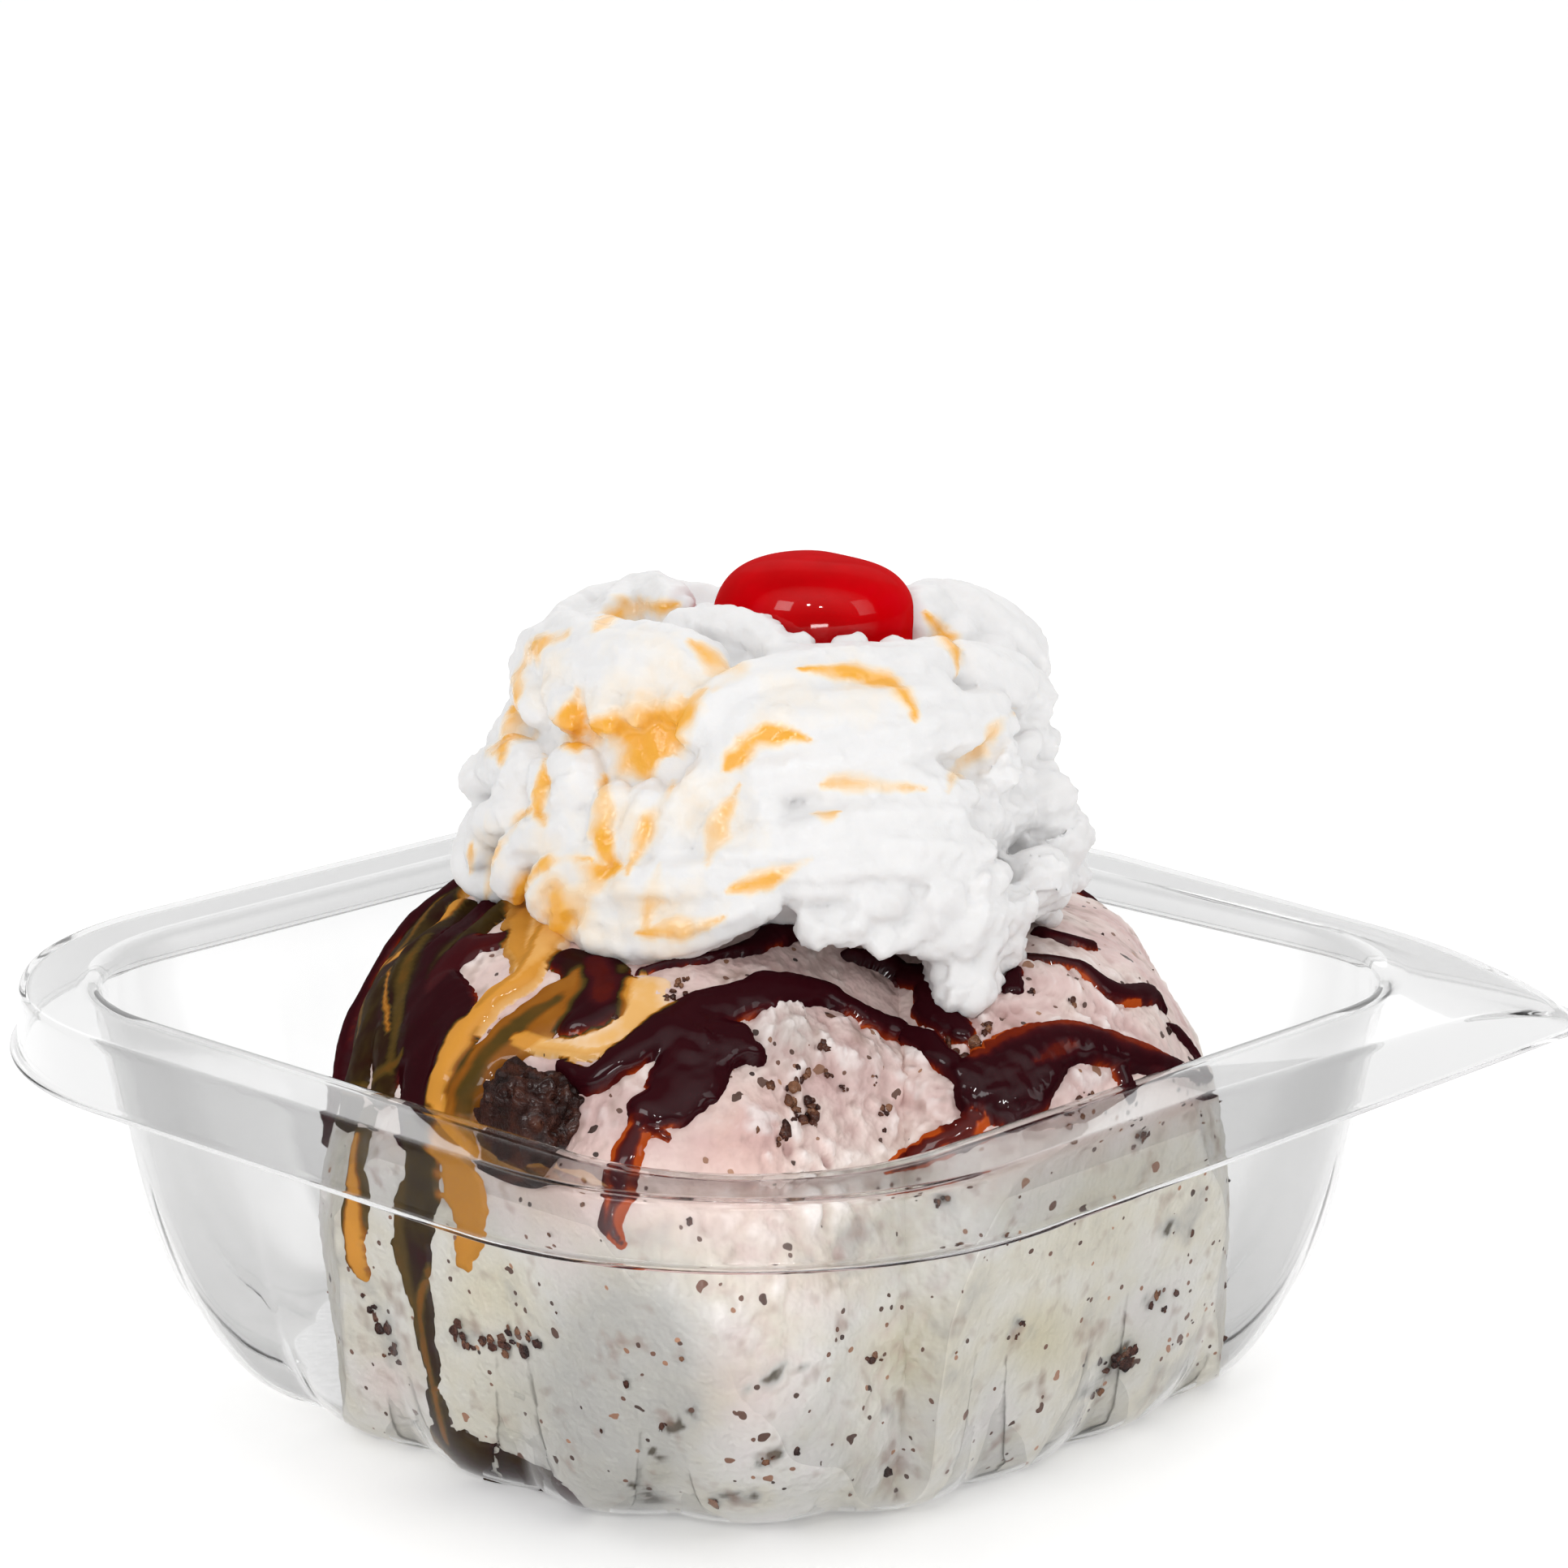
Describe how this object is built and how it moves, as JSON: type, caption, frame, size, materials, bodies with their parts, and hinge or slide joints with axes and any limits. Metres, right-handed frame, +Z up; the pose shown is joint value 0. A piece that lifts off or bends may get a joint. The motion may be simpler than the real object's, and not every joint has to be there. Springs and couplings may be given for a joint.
{
  "type": "ice cream sundae",
  "caption": "Ice cream sundae in a clear square takeaway bowl: cookie-speckled scoops, a swirl of piped whipped cream, a glazed cherry and a brownie chunk.",
  "frame": {"origin": "middle of the flat underside of the bowl", "axes": "+Z up, X and Y along the bowl's sides, the rim's tab at the +X +Y corner and the shown side at the +X -Y corner"},
  "size_m": [0.1454, 0.1454, 0.0978],
  "materials": {
    "clear_plastic": "clear, glossy",
    "ice_cream": "matte, moist",
    "whipped_cream": "soft matte",
    "cherry": "wet, glossy",
    "brownie": "rough, crumbly"
  },
  "bodies": {
    "root": {"bowl": "clear_plastic", "scoop_left": "ice_cream", "scoop_right": "ice_cream", "whipped_cream": "whipped_cream", "cherry": "cherry", "brownie_chunk": "brownie"}
  },
  "joints": []
}
